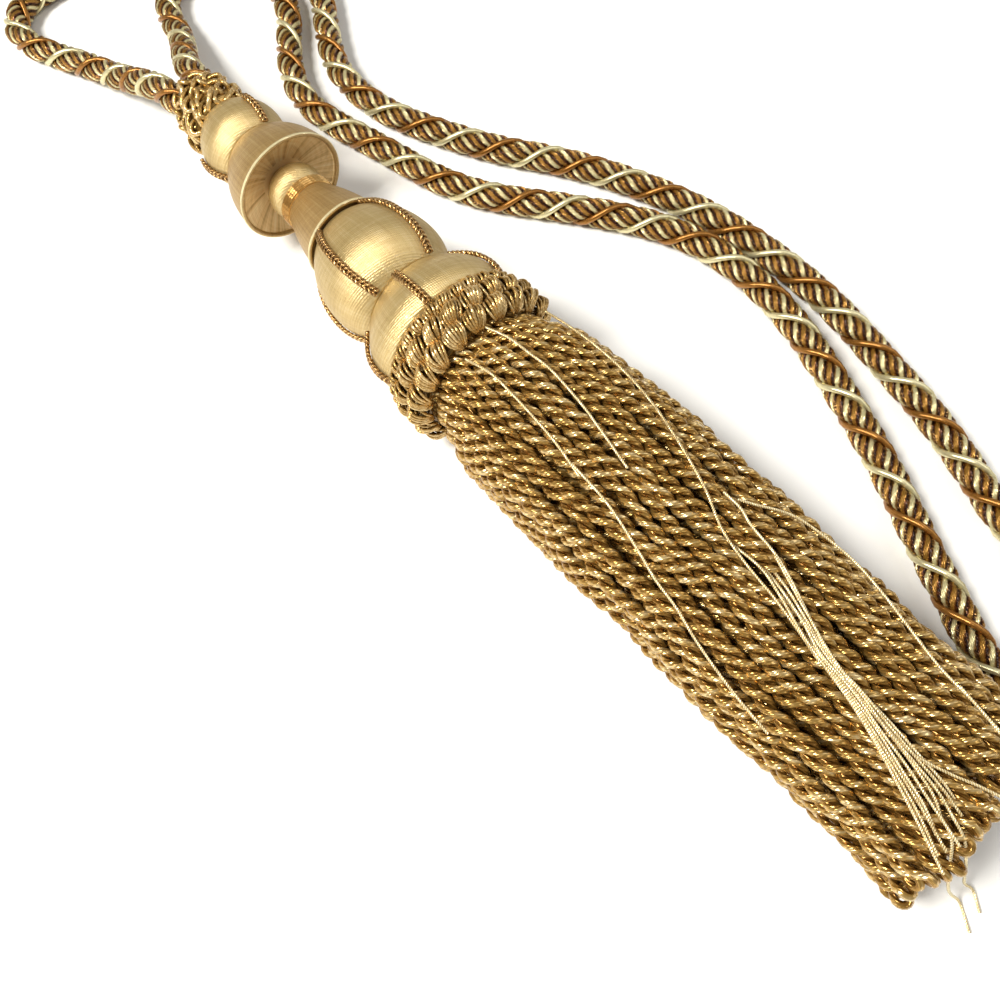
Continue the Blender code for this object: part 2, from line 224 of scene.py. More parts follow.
# %% Colours and nodes
def linear(code):
    """An sRGB hex colour as linear red, green, blue and alpha."""
    channels = np.array([int(code[i:i + 2], 16) / 255 for i in (1, 3, 5)])
    bright = ((channels + 0.055) / 1.055) ** 2.4
    return (*np.where(channels <= 0.04045, channels / 12.92, bright), 1.0)


def add_node(tree, kind, inputs=(), stops=(), **settings):
    """Add a shader node with its settings and links.

    inputs are its sockets in order, or a dict by name or number. A number or colour is set,
    and another node's output is linked. stops are a colour ramp's places and hex colours.
    """
    node = tree.nodes.new("ShaderNode" + kind)
    for name, value in settings.items():
        setattr(node, name, value)
    for key, value in inputs.items() if isinstance(inputs, dict) else enumerate(inputs):
        if isinstance(value, bpy.types.NodeSocket):
            tree.links.new(value, node.inputs[key])
        else:
            node.inputs[key].default_value = value
    for index, (place, code) in enumerate(stops):
        elements = node.color_ramp.elements
        element = elements[index] if index < 2 else elements.new(place)
        element.position, element.color = place, linear(code)
    return node


# %% A material
def new_material(name, gloss):
    """A Principled material. gloss gives the values of the shader's own sockets by name."""
    material = bpy.data.materials.new(name)
    material.use_nodes = True
    shader = material.node_tree.nodes["Principled BSDF"]
    for socket, value in gloss.items():
        shader.inputs[socket].default_value = value
    return material, material.node_tree, shader


# %% What every thread shares
def filaments(tree, around, slant, patches, lobes=1):
    """Three patterns on the thread map, each a number at every point.

    ridge: sin 2 pi (around u + slant v), one wave to a filament.
    fleck: noise drawn out along the filaments, with so many patches to a millimetre.
    crown: (1 + cos 2 pi lobes u) / 2, which is 1 on top of each ply and 0 between two.
    """
    uv = add_node(tree, "UVMap", uv_map="thread").outputs["UV"]
    across = add_node(tree, "VectorMath", (uv, (around, slant, 0.0)), operation="DOT_PRODUCT")
    along = add_node(tree, "VectorMath", (uv, (0.0, patches, 0.0)), operation="DOT_PRODUCT")
    ply = add_node(
        tree, "VectorMath", (uv, (2 * math.pi * lobes, 0.0, 0.0)), operation="DOT_PRODUCT")
    across, along, ply = (node.outputs["Value"] for node in (across, along, ply))
    wave = add_node(tree, "Math", (across, 2 * math.pi), operation="MULTIPLY").outputs[0]
    ridge = add_node(tree, "Math", (wave,), operation="SINE").outputs[0]
    place = add_node(tree, "CombineXYZ", (across, along)).outputs[0]
    noise = add_node(tree, "TexNoise", {"Vector": place, "Scale": 1.0, "Detail": 2.0})
    crest = add_node(tree, "Math", (ply,), operation="COSINE").outputs[0]
    crown = add_node(tree, "Math", (crest, 0.5, 0.5), operation="MULTIPLY_ADD").outputs[0]
    return ridge, noise.outputs["Fac"], crown


def lay_thread(tree, shader, colour, ridge, fleck, depth, rise=0.35):
    """Give a thread its colour, raise its filaments, and turn its gloss across them.

    The height is rise times ridge plus fleck, and depth is what one unit of it stands up.
    """
    height = add_node(tree, "Math", (ridge, rise, fleck), operation="MULTIPLY_ADD")
    bump = add_node(tree, "Bump", {
        "Height": height.outputs[0], "Distance": depth, "Strength": 0.8})
    tangent = add_node(tree, "Tangent", direction_type="UV_MAP", uv_map="thread")
    tree.links.new(colour, shader.inputs["Base Color"])
    tree.links.new(bump.outputs["Normal"], shader.inputs["Normal"])
    tree.links.new(tangent.outputs["Tangent"], shader.inputs["Tangent"])


# %% [markdown]
# ## Satin floss
#
# A mould is wound from pole to pole in flat satin floss. A layer of it shines like a brushed
# surface: its gloss is narrow along the thread and wide across it, which draws a bright band
# round the mould. Single threads would take far too many faces, so the shader's anisotropy
# draws the band, and a fine bump breaks it where threads rise and sink.

# %% Satin floss wound on the moulds
SATIN_GLOSS = {"Roughness": 0.34, "Metallic": 0.6, "Anisotropic": 0.92, "Specular IOR Level": 1.0}
KNOTS_PER_MM = 1.5  # places on a millimetre of thread where it rises or sinks
RINGS_PER_MM = 1.3  # faint swells that run slantwise round the mould
FLECKS_PER_MM, STREAKS_PER_MM = 0.45, 0.05  # changes of tone along a thread
SATIN_RELIEF = 0.00002  # what one unit of a thread's height stands up


def satin_floss(name, threads, tones, grain=0.16):
    """Rayon satin floss laid side by side from pole to pole over a turned mould.

    It gives the eye soft gold with a bright band round the mould, broken by a fine lattice:
    threads about 0.6 mm wide, that rise and sink unevenly about every 0.8 mm. threads is
    how many go round, and grain how far they differ in tone.
    """
    material, tree, shader = new_material(name, SATIN_GLOSS)
    ridge, knots, _ = filaments(tree, threads, 0.0, KNOTS_PER_MM)
    ring, fleck, _ = filaments(tree, threads / 6, RINGS_PER_MM, FLECKS_PER_MM)
    _, streak, _ = filaments(tree, threads / 2, 0.0, STREAKS_PER_MM)
    uneven = add_node(tree, "Math", (knots, 8.0), operation="MULTIPLY").outputs[0]
    weave = add_node(tree, "Math", (ring, 1.0, ridge), operation="MULTIPLY_ADD").outputs[0]
    wide = add_node(tree, "Math", (streak, grain, 0.4 - grain / 2), operation="MULTIPLY_ADD")
    tone = add_node(tree, "Math", (fleck, 0.2, wide.outputs[0]), operation="MULTIPLY_ADD")
    colour = add_node(tree, "ValToRGB", (tone.outputs[0],), tones).outputs["Color"]
    lay_thread(tree, shader, colour, weave, uneven, SATIN_RELIEF, 1.4)
    return material


# %% The satins: how many threads go round is a girth over a thread's width
PALE_GOLD = ((0.40, "#A88A52"), (0.50, "#C0A66E"), (0.60, "#D4C092"))
# darker tones for the saucer and the bell than for the balls
DARKER_GOLD = ((0.35, "#8E6C3C"), (0.50, "#B2925C"), (0.65, "#C8AE7C"))
# painted light: the dish under the saucer gets much paler tones than the other satins, to lift its
# shade
UNDER_GOLD_PAINTED_LIGHT = ((0.35, "#B08C56"), (0.50, "#EACA90"), (0.65, "#F6E2B4"))
# painted highlight: the bright line on each rim is painted in these pale tones
CREAM_GOLD_PAINTED_HIGHLIGHT = ((0.40, "#E0C88C"), (0.50, "#F4E6B4"), (0.60, "#FFF8DC"))
satin_large = satin_floss("rayon_satin_floss_large", 240, PALE_GOLD)  # 140 mm / 0.58 mm
satin_small = satin_floss("rayon_satin_floss_small", 170, PALE_GOLD)  # 100 mm / 0.59 mm
satin_darker = satin_floss("rayon_satin_floss_darker", 220, DARKER_GOLD, 0.3)  # 129 mm / 0.59 mm
satin_under_painted_light = satin_floss("rayon_satin_floss_dish_painted_light", 110, UNDER_GOLD_PAINTED_LIGHT, 0.6)  # folds, 1.2 mm
satin_rim_painted_highlight = satin_floss("rayon_satin_floss_rim_painted_highlight", 200, CREAM_GOLD_PAINTED_HIGHLIGHT)  # fine rings of floss
print("materials with the satins:", len(bpy.data.materials))

# %% [markdown]
# ## Twisted threads and cords
#
# Gimp, bullion, braid and string are filaments twisted round each other. Their big twist is
# in the mesh, and the filaments, too fine for that, are a slanting bump. A narrow gloss breaks
# on it into small glints. A ramp of tones paints shade in the valley between two plies, where
# light hardly gets in, and a painted highlight on the top of each ply.

# %% Twisted thread
DYE_SPREAD = 0.16  # how far apart the tones of two tubes of one piece may lie


def twisted_thread(
        name, tones, gloss, around, slant, lobes=1, depth=0.00012, patches=0.7, rise=0.35):
    """A thread of fine filaments that slant round it.

    It gives the eye small broken glints, and its tones go from painted shade between two
    plies up to a painted highlight on the top of a ply. Each tube's own shade stands for the
    small differences of dye.
    """
    material, tree, shader = new_material(name, gloss)
    ridge, fleck, crown = filaments(tree, around, slant, patches, lobes)
    dye = add_node(tree, "Attribute", attribute_name="shade").outputs["Fac"]
    dyed = add_node(
        tree, "Math", (dye, DYE_SPREAD, -DYE_SPREAD / 2), operation="MULTIPLY_ADD").outputs[0]
    flecked = add_node(tree, "Math", (fleck, 0.6, dyed), operation="MULTIPLY_ADD").outputs[0]
    # painted shade between plies and painted highlight on each ply's top: the crown lifts the tone
    tone = add_node(tree, "Math", (crown, 0.4, flecked), operation="MULTIPLY_ADD").outputs[0]
    colour = add_node(tree, "ValToRGB", (tone,), tones).outputs["Color"]
    lay_thread(tree, shader, colour, ridge, fleck, depth, rise)
    return material


# %% The cords and threads, each with its tones from painted shade in the valley up to a painted highlight on the crown
SILKY = {"Roughness": 0.24, "Metallic": 0.5, "Anisotropic": 0.4, "Specular IOR Level": 0.8}
METALLIC = {"Roughness": 0.22, "Metallic": 0.7, "Specular IOR Level": 0.6}
ivory_cord = twisted_thread(
    "rayon_ivory_satin_cord", ((0.1, "#80703C"), (0.35, "#B8AA76"), (0.7, "#E0D6AA")),
    METALLIC, 1, 2.2, depth=0.00006)
copper_cord = twisted_thread(
    "rayon_copper_satin_cord", ((0.1, "#2A1404"), (0.35, "#6A3C10"), (0.7, "#A06E30")),
    METALLIC, 1, 2.2, depth=0.00006)
antique_gimp = twisted_thread(
    "antique_gold_gimp",
    ((0.15, "#3A260E"), (0.42, "#86672F"), (0.62, "#B89252"), (0.85, "#EED49C")),
    METALLIC, 3, 0.9, patches=1.0, depth=0.00008)
bullion_cord = twisted_thread(
    "antique_gold_bullion",
    ((0.20, "#6E4A1C"), (0.45, "#8C662C"), (0.65, "#B6904C"), (0.88, "#F8E2AE")),
    METALLIC, 5, 0.12, patches=0.35, depth=0.00010, rise=1.3)
bronze_braid = twisted_thread(
    "bronze_two_ply_braid", ((0.1, "#3E2608"), (0.45, "#946A34"), (0.8, "#E0BC80")),
    METALLIC, 4, 1.6, lobes=2)
gold_braid = twisted_thread(
    "gold_metallic_braid", ((0.1, "#7A5420"), (0.45, "#B88A48"), (0.8, "#E2BC78")),
    METALLIC, 40, 0.0, depth=0.00008)
pale_string = twisted_thread(
    "pale_gold_rayon_string", ((0.1, "#6E5226"), (0.4, "#C8AA6C"), (0.75, "#FFF2C8")),
    SILKY, 4, 1.6, lobes=2, depth=0.00005)
print("materials with the twisted threads:", len(bpy.data.materials))

# %% The yarns of the rope
YARNS = 6  # in one strand, ivory and copper in turn
IVORY_DYE, COPPER_DYE = "#DCD09C", "#9C7028"
# painted shade in the grooves between yarns, up to a painted highlight on their crests
YARN_PAINTED_SHADE_AND_HIGHLIGHT = ((0.30, "#301402"), (0.48, "#A88050"), (0.70, "#FFFFFF"))


def rope_yarns(name):
    """Soft yarns of twisted filament, ivory and copper in turn, plied into one strand.

    They give the eye stripes of colour that run nearly in line with the rope, each a round
    ridge with slanting filaments about 0.5 mm wide, with a painted highlight on the ridge and
    painted shade in the groove on each side.
    """
    material, tree, shader = new_material(name, {
        "Roughness": 0.26, "Metallic": 0.65, "Specular IOR Level": 0.8})
    ridge, fleck, crown = filaments(tree, 7 * YARNS, 0.9, 0.9, lobes=YARNS)
    uv = add_node(tree, "UVMap", uv_map="thread").outputs["UV"]
    u = add_node(tree, "SeparateXYZ", (uv,)).outputs["X"]
    pairs = add_node(tree, "Math", (u, YARNS / 2), operation="MULTIPLY").outputs[0]
    turn_of_two = add_node(tree, "Math", (pairs,), operation="FRACT").outputs[0]
    dyes = add_node(tree, "ValToRGB", (turn_of_two,), (
        (0.00, IVORY_DYE), (0.49, IVORY_DYE), (0.51, COPPER_DYE), (1.00, COPPER_DYE))
        ).outputs["Color"]
    # painted shade in each valley between two yarns, painted highlight on its crest
    raised = add_node(tree, "Math", (crown, -0.55, 0.55), operation="MULTIPLY_ADD").outputs[0]
    light = add_node(tree, "Math", (fleck, 0.6, raised), operation="MULTIPLY_ADD").outputs[0]
    painted_shade_and_highlight = add_node(tree, "ValToRGB", (light,), YARN_PAINTED_SHADE_AND_HIGHLIGHT).outputs["Color"]
    shaded = add_node(
        tree, "Mix", {0: 1.0, 6: dyes, 7: painted_shade_and_highlight}, data_type="RGBA", blend_type="MULTIPLY")
    lay_thread(tree, shader, shaded.outputs[2], ridge, fleck, 0.00030)
    return material


rope_strand_yarns = rope_yarns("rayon_rope_yarns")
print("rope yarns:", rope_strand_yarns.name)

# %% [markdown]
# ## The rope
#
# The embrace is a rope about 11 mm thick: two fat strands, each of six soft yarns in ivory and
# copper, and two smooth thin cords that lie in the grooves between them, one ivory and one
# copper. The strands turn to the left, and the yarns in each turn back, so that they show
# nearly in line with the rope. It leaves the top ruff, lies in one loop beside the tassel,
# and goes back into the ruff. Physics would let it settle somewhere else, so its route is a
# table of points in millimetres, with a smooth curve through them.

# %% The rope's route
ROPE_OUT_MM = (  # out of the ruff and down to the surface
    (-179.8, -9.3, 27), (-187, -9.3, 26.8), (-197, -9.8, 25), (-209, -11, 20.5),
    (-222, -12, 14.5), (-236, -14, 9.5), (-252, -18, 6.8),
)
ROPE_LYING_MM = (  # lying on it, with its axis at LYING_MM
    (-268, -24), (-283, -29), (-297, -28), (-307, -17), (-309, -2), (-305, 15), (-298, 33),
    (-291, 51), (-281, 68), (-266, 80.5), (-248, 86), (-230, 84), (-216, 78), (-204, 71),
    (-192, 64), (-178, 57.5), (-162, 54.8), (-148, 55.5), (-135, 58.5), (-113, 67), (-94.6, 76),
    (-80, 85), (-66, 92.5), (-51, 99), (-35, 104.5), (-18, 108.8), (0, 111), (18, 111.6),
    (36, 110.5), (54, 107.5), (70, 104), (86, 100.5), (101, 96), (115, 91), (129, 86), (146, 83),
    (164, 84.5), (182, 85.5), (197, 79), (204.5, 65), (199, 50), (185, 42.5), (170, 41.5),
    (157, 44), (146, 47.8), (134, 53.5), (122, 59), (110, 65), (97, 71.5), (83, 77.8), (68, 83.8),
    (52, 89.8), (36, 94.8), (18, 98.2), (0, 98.5), (-16, 95.8), (-31, 89.8), (-46, 81),
    (-60, 71.5), (-74, 61.5), (-87, 53.8), (-104, 47.5), (-121, 44), (-138, 40.5), (-152, 37.5),
    (-165, 36), (-178, 37.8), (-190.5, 43), (-203, 51), (-214, 59), (-226, 65.3), (-240, 68.3),
    (-254, 65.5), (-265, 57), (-270.5, 44), (-266, 31.5), (-254, 24),
)
ROPE_BACK_MM = (  # and up again into the ruff
    (-241, 20.5, 7.5), (-228, 16, 11.5), (-215, 10.5, 17), (-203, 6, 22), (-195, 4, 25),
    (-187, 3.3, 26.8), (-179.8, 3.3, 27),
)
LYING_MM = 5.7  # height of the rope's axis where it lies
ROPE_STEP = 0.0013  # between two rings of a strand
ROPE_PITCH = 0.033  # one whole turn of the two strands
STRAND_AXIS = 0.0023  # from the rope's axis to a strand's middle
STRAND_DEEP, STRAND_WIDE = 0.0019, 0.0027  # a strand's half depth and half width
YARN_HEIGHT, YARN_COLUMNS = 0.0013, 6  # how far a yarn stands up, and its points
YARN_PITCH = 0.0125  # one turn of a strand's yarns, which is the other way
THIN_RADIUS, THIN_AXIS = 0.00112, 0.00440  # a thin cord, and its middle from the rope's axis
ROPE_LAP = 0.004  # how far each end goes on into the ruff
BLENDS = 12  # points worked out between two points of a route


def smooth_route(points, step):
    """Points at equal steps on a centripetal Catmull-Rom curve through a route.

    Between two points the curve is a blend of blends of four points, each weighted by how far
    the parameter is from the others' knots; a knot is the square root of a distance further on.
    """
    points = np.asarray(points, float)
    padded = np.vstack((2 * points[0] - points[1], points, 2 * points[-1] - points[-2]))
    a, b, c, d = (padded[i:len(padded) - 3 + i, None] for i in range(4))
    gap = [
        np.linalg.norm(q - p, axis=-1, keepdims=True) ** 0.5 for p, q in ((a, b), (b, c), (c, d))]
    k1, k2, k3 = gap[0], gap[0] + gap[1], gap[0] + gap[1] + gap[2]
    t = k1 + (k2 - k1) * np.linspace(0, 1, BLENDS, endpoint=False)[None, :, None]
    ab = ((k1 - t) * a + t * b) / k1
    bc = ((k2 - t) * b + (t - k1) * c) / (k2 - k1)
    cd = ((k3 - t) * c + (t - k2) * d) / (k3 - k2)
    abc = ((k2 - t) * ab + t * bc) / k2
    bcd = ((k3 - t) * bc + (t - k1) * cd) / (k3 - k1)
    dense = (((k2 - t) * abc + (t - k1) * bcd) / (k2 - k1)).reshape(-1, 3)
    dense = np.vstack((dense, points[-1]))
    along = distance_along(dense)
    wanted = np.linspace(0.0, along[-1], max(int(round(along[-1] / step)), 2) + 1)
    return np.stack([np.interp(wanted, along, dense[:, axis]) for axis in range(3)], -1)


lying = np.column_stack((ROPE_LYING_MM, np.full(len(ROPE_LYING_MM), LYING_MM)))
route = smooth_route(np.vstack((ROPE_OUT_MM, lying, ROPE_BACK_MM)) * MM, ROPE_STEP)
lap = np.arange(3, 0, -1)[:, None] * (ROPE_LAP / 3) * np.array((1.0, 0.0, 0.0))
core = np.vstack((route[0] + lap, route, (route[-1] + lap)[::-1]))


# %% Its two strands
HAIR = 0.00005  # how far above the surface the lowest filaments lie


def rest_on_floor(rings):
    """Whatever would sink into the surface is pressed flat on it."""
    rings[..., 2] = np.maximum(rings[..., 2], HAIR)
    return rings


def rope_strands():
    """Two flattened strands that wind round the route, ridged by yarns that turn back.

    A ring is an ellipse beside the rope's axis, raised along its normal by h sqrt(1 - d^2),
    where d goes from 0 on a yarn's middle to 1 at its edge.
    """
    along = distance_along(core)
    phase = np.arange(2)[:, None] * math.pi + 2 * math.pi * along / ROPE_PITCH
    _, side, up = line_frame(core)
    phase = phase[..., None]
    out = np.sin(phase) * side + np.cos(phase) * up
    across = np.cos(phase) * side - np.sin(phase) * up
    column = np.arange(YARN_COLUMNS * YARNS)
    off_middle = 2 * (column % YARN_COLUMNS) / YARN_COLUMNS - 1
    ridge = YARN_HEIGHT * np.sqrt(1 - off_middle ** 2)
    place = 2 * math.pi * (column / len(column) - along[:, None] / YARN_PITCH)
    normal = unit(np.stack((np.cos(place) / STRAND_DEEP, np.sin(place) / STRAND_WIDE), -1))
    outer_part = STRAND_AXIS + STRAND_DEEP * np.cos(place) + ridge * normal[..., 0]
    across_part = STRAND_WIDE * np.sin(place) + ridge * normal[..., 1]
    return rest_on_floor(
        core[None, :, None] + outer_part[..., None] * out[:, :, None]
        + across_part[..., None] * across[:, :, None])


# %% Its thin cords, and the rope's three pieces
def thin_cord(first):
    """One thin cord in a groove between the strands: a circle carried round the rope's axis
    at the angle first + 2 pi distance / pitch."""
    sparse = core[::2] if len(core) % 2 else np.vstack((core[::2], core[-1:]))
    _, side, up = line_frame(sparse)
    phase = first + 2 * math.pi * distance_along(sparse) / ROPE_PITCH
    line, outward = wound(sparse, side, up, np.full(phase.shape, THIN_AXIS), phase)
    return rest_on_floor(tube(line, outward, round_section(THIN_RADIUS, 10))[None])


embrace = piece(
    "embrace_strands", [rope_strands()], rope_strand_yarns, ("embrace_rope",))
ivory_thin = piece("embrace_ivory_cord", [thin_cord(math.pi / 2)], ivory_cord)
copper_thin = piece("embrace_copper_cord", [thin_cord(-math.pi / 2)], copper_cord)

# %% [markdown]
# ## The moulds
#
# Each mould is turned beech wound in satin floss from pole to pole. A primitive sphere gives
# no bell, saucer or dome, so each is a surface of revolution: a line of (x, radius) carried
# round the head's axis, as on a lathe. Where floss turns over a rim it makes a small roll,
# which is a ring of its own, with a painted highlight in its pale colour.

# %% Sizes of the head
AXIS_Y, AXIS_Z = -0.0030, 0.0270
BALL_1_CENTRE, BALL_1_RADIUS, BALL_1_END = -0.14755, 0.0159, -0.13825
SAUCER_LENGTH, SAUCER_RADIUS, SAUCER_START, SAUCER_RIM = 0.0256, 0.0206, -0.13795, -0.11825
BEAD_CENTRE, BEAD_RADIUS, BEAD_HALF = -0.11560, 0.0103, 0.0082
BEAD_START, BEAD_END = -0.1216, -0.1102
BELL_START, BELL_RIM, BELL_NECK_RADIUS = -0.10550, -0.08570, 0.0098
BELL_RIM_RADIUS = 0.0152  # the solid's rim is 0.6 mm wider
BALL_2_CENTRE, BALL_2_RADIUS, BALL_2_START, BALL_2_END = -0.06355, 0.0223, -0.08600, -0.04950
MOUTH = 0.0050  # drawn out by this to fill the bell's mouth; the solid is a ball
DOME = (  # station and radius; the last two rows are a step down
    (-0.0492, 0.0162), (-0.0487, 0.0180), (-0.0450, 0.0214), (-0.0400, 0.0245),
    (-0.0350, 0.0258), (-0.0315, 0.0257), (-0.0290, 0.0250), (-0.0286, 0.0232),
    (-0.0230, 0.0232),
)
DOME_CORE = 0.004  # radius of the flat at each end of the dome
MOULD_COLUMNS = 192  # points round a mould
print(f"head from {BALL_1_CENTRE - BALL_1_RADIUS:.4f} to {DOME[-1][0]:.4f} m")


def round_axis(x, radius, angle):
    """Points round the head's axis: (x, axis + radius cos, axis + radius sin)."""
    x, radius, angle = np.broadcast_arrays(x, radius, angle)
    y = AXIS_Y + radius * np.cos(angle)
    z = AXIS_Z + radius * np.sin(angle)
    return np.stack((x, y, np.maximum(z, 0.0)), -1)


def turned(section, columns=MOULD_COLUMNS):
    """Rings of a surface of revolution from rows of (x, radius)."""
    section = np.asarray(section, float)
    angle = np.arange(columns) * 2 * math.pi / columns
    return round_axis(section[:, 0:1], section[:, 1:2], angle)[None]


def arc(centre, radius, start, end, steps, along=None):
    """Rows of an ellipse's arc between two stations, at equal angles."""
    along = along or radius
    low, high = (math.acos(max(-1.0, min(1.0, (x - centre) / along))) for x in (start, end))
    angle = np.linspace(low, high, steps)
    return np.stack((centre + along * np.cos(angle), radius * np.sin(angle)), -1)


# %% Sections of the saucer and the bell
LIP, LIP_ROWS = 0.0007, 14  # the roll where the floss turns over an edge
SAUCER_EDGE = (SAUCER_RIM - 0.0004, SAUCER_RADIUS - 0.0004)  # the middle of its roll
BELL_EDGE = (BELL_RIM - 0.0005, BELL_RIM_RADIUS - 0.0002)
BELL_BULGE = 0.0005
SAUCER_ROWS, SAUCER_DISH = 40, 0.0050  # rows outside, and how deep it is underneath


def rolled_lip(edge):
    """Rows of nearly two thirds of a circle round the middle of an edge's roll."""
    roll = np.linspace(math.pi * 0.8, -math.pi / 2, LIP_ROWS)
    return np.stack((edge[0] + LIP * np.cos(roll), edge[1] + LIP * np.sin(roll)), -1)


def saucer_section():
    """A quarter ellipse outside, a rolled lip, and a dish: x = edge - depth (1 - share^2)."""
    outside = arc(
        SAUCER_RIM, SAUCER_RADIUS, SAUCER_START, SAUCER_RIM - 0.0014, SAUCER_ROWS, SAUCER_LENGTH)
    share = np.linspace(0.94, 0.42, 22)
    under = np.stack((
        SAUCER_EDGE[0] - SAUCER_DISH * (1 - share ** 2), SAUCER_RADIUS * share), -1)
    return np.vstack((outside, rolled_lip(SAUCER_EDGE), under))


def bell_section():
    """A cone with a slight bulge, a rolled lip, and a shallow hollow under it."""
    share = np.linspace(0.0, 1.0, 30)
    outside = np.stack((
        BELL_START + share * (BELL_RIM - 0.0009 - BELL_START),
        BELL_NECK_RADIUS + share * (BELL_RIM_RADIUS - BELL_NECK_RADIUS)
        + BELL_BULGE * np.sin(math.pi * share)), -1)
    share = np.linspace(0.88, 0.2, 12)
    under = np.stack((BELL_RIM - 0.0006 - 0.0010 * (1 - share), BELL_RIM_RADIUS * share), -1)
    return np.vstack((outside, rolled_lip(BELL_EDGE), under))


def smooth_rows(rows, step):
    """A smooth curve through a table of (x, radius) rows."""
    rows = np.asarray(rows, float)
    return smooth_route(np.column_stack((rows, np.zeros(len(rows)))), step)[:, :2]


# %% Sections of the balls, the bead and the dome
ball_1 = arc(BALL_1_CENTRE, BALL_1_RADIUS, BALL_1_CENTRE - 0.98 * BALL_1_RADIUS, BALL_1_END, 48)
ball_2 = np.vstack((
    arc(BALL_2_CENTRE, BALL_2_RADIUS, BALL_2_START, BALL_2_CENTRE - 0.0001, 40,
        BALL_2_RADIUS + MOUTH),
    arc(BALL_2_CENTRE, BALL_2_RADIUS, BALL_2_CENTRE, BALL_2_END, 32)))
bead = arc(BEAD_CENTRE, BEAD_RADIUS, BEAD_START, BEAD_END, 28, BEAD_HALF)
dome = np.vstack((
    [(DOME[0][0], DOME_CORE)], smooth_rows(DOME[:7], 0.0006), DOME[7:], [(DOME[-1][0], DOME_CORE)]))
print("rows:", [len(rows) for rows in (ball_1, ball_2, bead, dome)])

# %% Wind the moulds
piece("upper_ball_floss", [turned(ball_1)], satin_small, ("upper_ball",))
saucer = piece("saucer_floss", [turned(saucer_section())], satin_darker, ("saucer",))
# the dish under the saucer takes the paler satin, painted light in its shade
saucer.data.materials.append(satin_under_painted_light)
row = np.arange(len(saucer.data.polygons)) // MOULD_COLUMNS
painted_light_dish = row >= SAUCER_ROWS + LIP_ROWS
saucer.data.polygons.foreach_set("material_index", painted_light_dish.astype(np.int32))
piece("neck_bead_floss", [turned(bead, 128)], satin_small, ("neck_bead",))
piece("bell_floss", [turned(bell_section())], satin_darker, ("bell",))


# %% The rolls of floss on the two rims, pale as a painted highlight
ROLL_RADIUS, ROLL_PROUD = 0.00052, 0.0003


def rolled_rim(edge):
    """A ring of thread round an edge, a little proud of the section."""
    angle = np.linspace(0.0, 2 * math.pi, 145)
    line = round_axis(edge[0], edge[1] + ROLL_PROUD, angle)
    spoke = np.stack((0 * angle, np.cos(angle), np.sin(angle)), -1)
    return tube(line, spoke, round_section(ROLL_RADIUS, 12))[None]


rims = [rolled_rim(SAUCER_EDGE), rolled_rim(BELL_EDGE)]
piece("rolled_rims_floss_painted_highlight", rims, satin_rim_painted_highlight)
piece("middle_ball_floss", [turned(ball_2)], satin_large, ("middle_ball",))
piece("base_dome_floss", [turned(dome)], satin_large, ("base_dome",))

# %% The neck ring of braid: four ribs, radius = base + rib |sin 4 pi share|
RING_START, RING_LENGTH, RING_RADIUS, RIB = -0.1099, 0.0041, 0.0100, 0.0004
share = np.linspace(0.0, 1.0, 33)
ring = np.stack((
    RING_START + RING_LENGTH * share,
    RING_RADIUS + RIB * np.abs(np.sin(4 * math.pi * share))), -1)
piece("neck_ring_braid", [turned(ring, 160)], gold_braid, ("neck_ring",))

# %% [markdown]
# ## Thin cords over the moulds
#
# Pairs of fine two-ply cords, one twisted each way, lie side by side down the balls and the
# dome, so that the pair reads as a herringbone. Two tubes for each cord would double the
# mesh, so a cord is one tube whose ring is a figure of eight that turns as it goes.

# %% Two-ply cord
def two_ply(line, outward, radius, pitch, columns=10):
    """Rings of a two-ply cord: radius (0.58 + 0.42 |cos a|), turned once in each pitch."""
    around = np.arange(columns) * 2 * math.pi / columns
    lobed = radius * (0.58 + 0.42 * np.abs(np.cos(around)))
    spin = 2 * math.pi * distance_along(line)[..., None] / pitch + around
    section = lobed[:, None] * np.stack((np.cos(spin), np.sin(spin)), -1)
    return tube(line, outward, section)


# %% Overlay cords: mould, its rows, pairs, the first one's angle in degrees, start and end
OVERLAYS = (
    ("ball_1", ball_1, 3, 62.0, -0.1520, -0.1386),
    ("ball_2", ball_2, 5, 57.5, -0.0845, -0.0500),
    ("dome", dome[1:-3], 5, 104.0, -0.0482, -0.0290),
)
PAIR_RADIUS, PAIR_SPACING, PAIR_PITCH = 0.00084, 0.00070, 0.0034


def overlay_pair(rows, angle, start, end):
    """Two twisted cords on a mould's meridian: line = mould surface + lift outwards."""
    x = np.linspace(start, end, 130)
    order = np.argsort(rows[:, 0])
    radius = np.interp(x, rows[order, 0], rows[order, 1])
    radius = np.convolve(np.pad(radius, 4, "edge"), np.ones(9) / 9, "valid")
    slope = np.gradient(radius, x)
    spoke = np.array((0.0, math.cos(angle), math.sin(angle)))
    outward = unit(spoke - slope[:, None] * np.array((1.0, 0.0, 0.0)))
    across = np.array((0.0, -math.sin(angle), math.cos(angle)))
    line = round_axis(x, radius, angle) + (PAIR_RADIUS + 0.0001) * outward
    return np.stack([
        two_ply(line + side * PAIR_SPACING * across, outward, PAIR_RADIUS, side * PAIR_PITCH)
        for side in (-1.0, 1.0)])


for mould, rows, count, first, start, end in OVERLAYS:
    angles = np.radians(first + 360.0 * np.arange(count) / count)
    pairs = [overlay_pair(rows, angle, start, end) for angle in angles]
    names = [f"{mould}_cord_{index + 1}" for index in range(count)]
    piece(f"{mould}_herringbone_cords", pairs, bronze_braid, names)

# %% [markdown]
# ## The ruffs
#
# A ruff is gimp thread laid in tight bunches of loops and stitched down between them. One
# thread is a half loop that leaves the binding, bulges out and comes back; a bunch is several
# side by side, pinched at both ends; a row is a ring of bunches. Row by row the bunches sit
# half a place round, like bricks. The eye reads a ruff by its loops, and neither hair nor
# displacement gives loops, so all of them are tubes, worked out in one array.

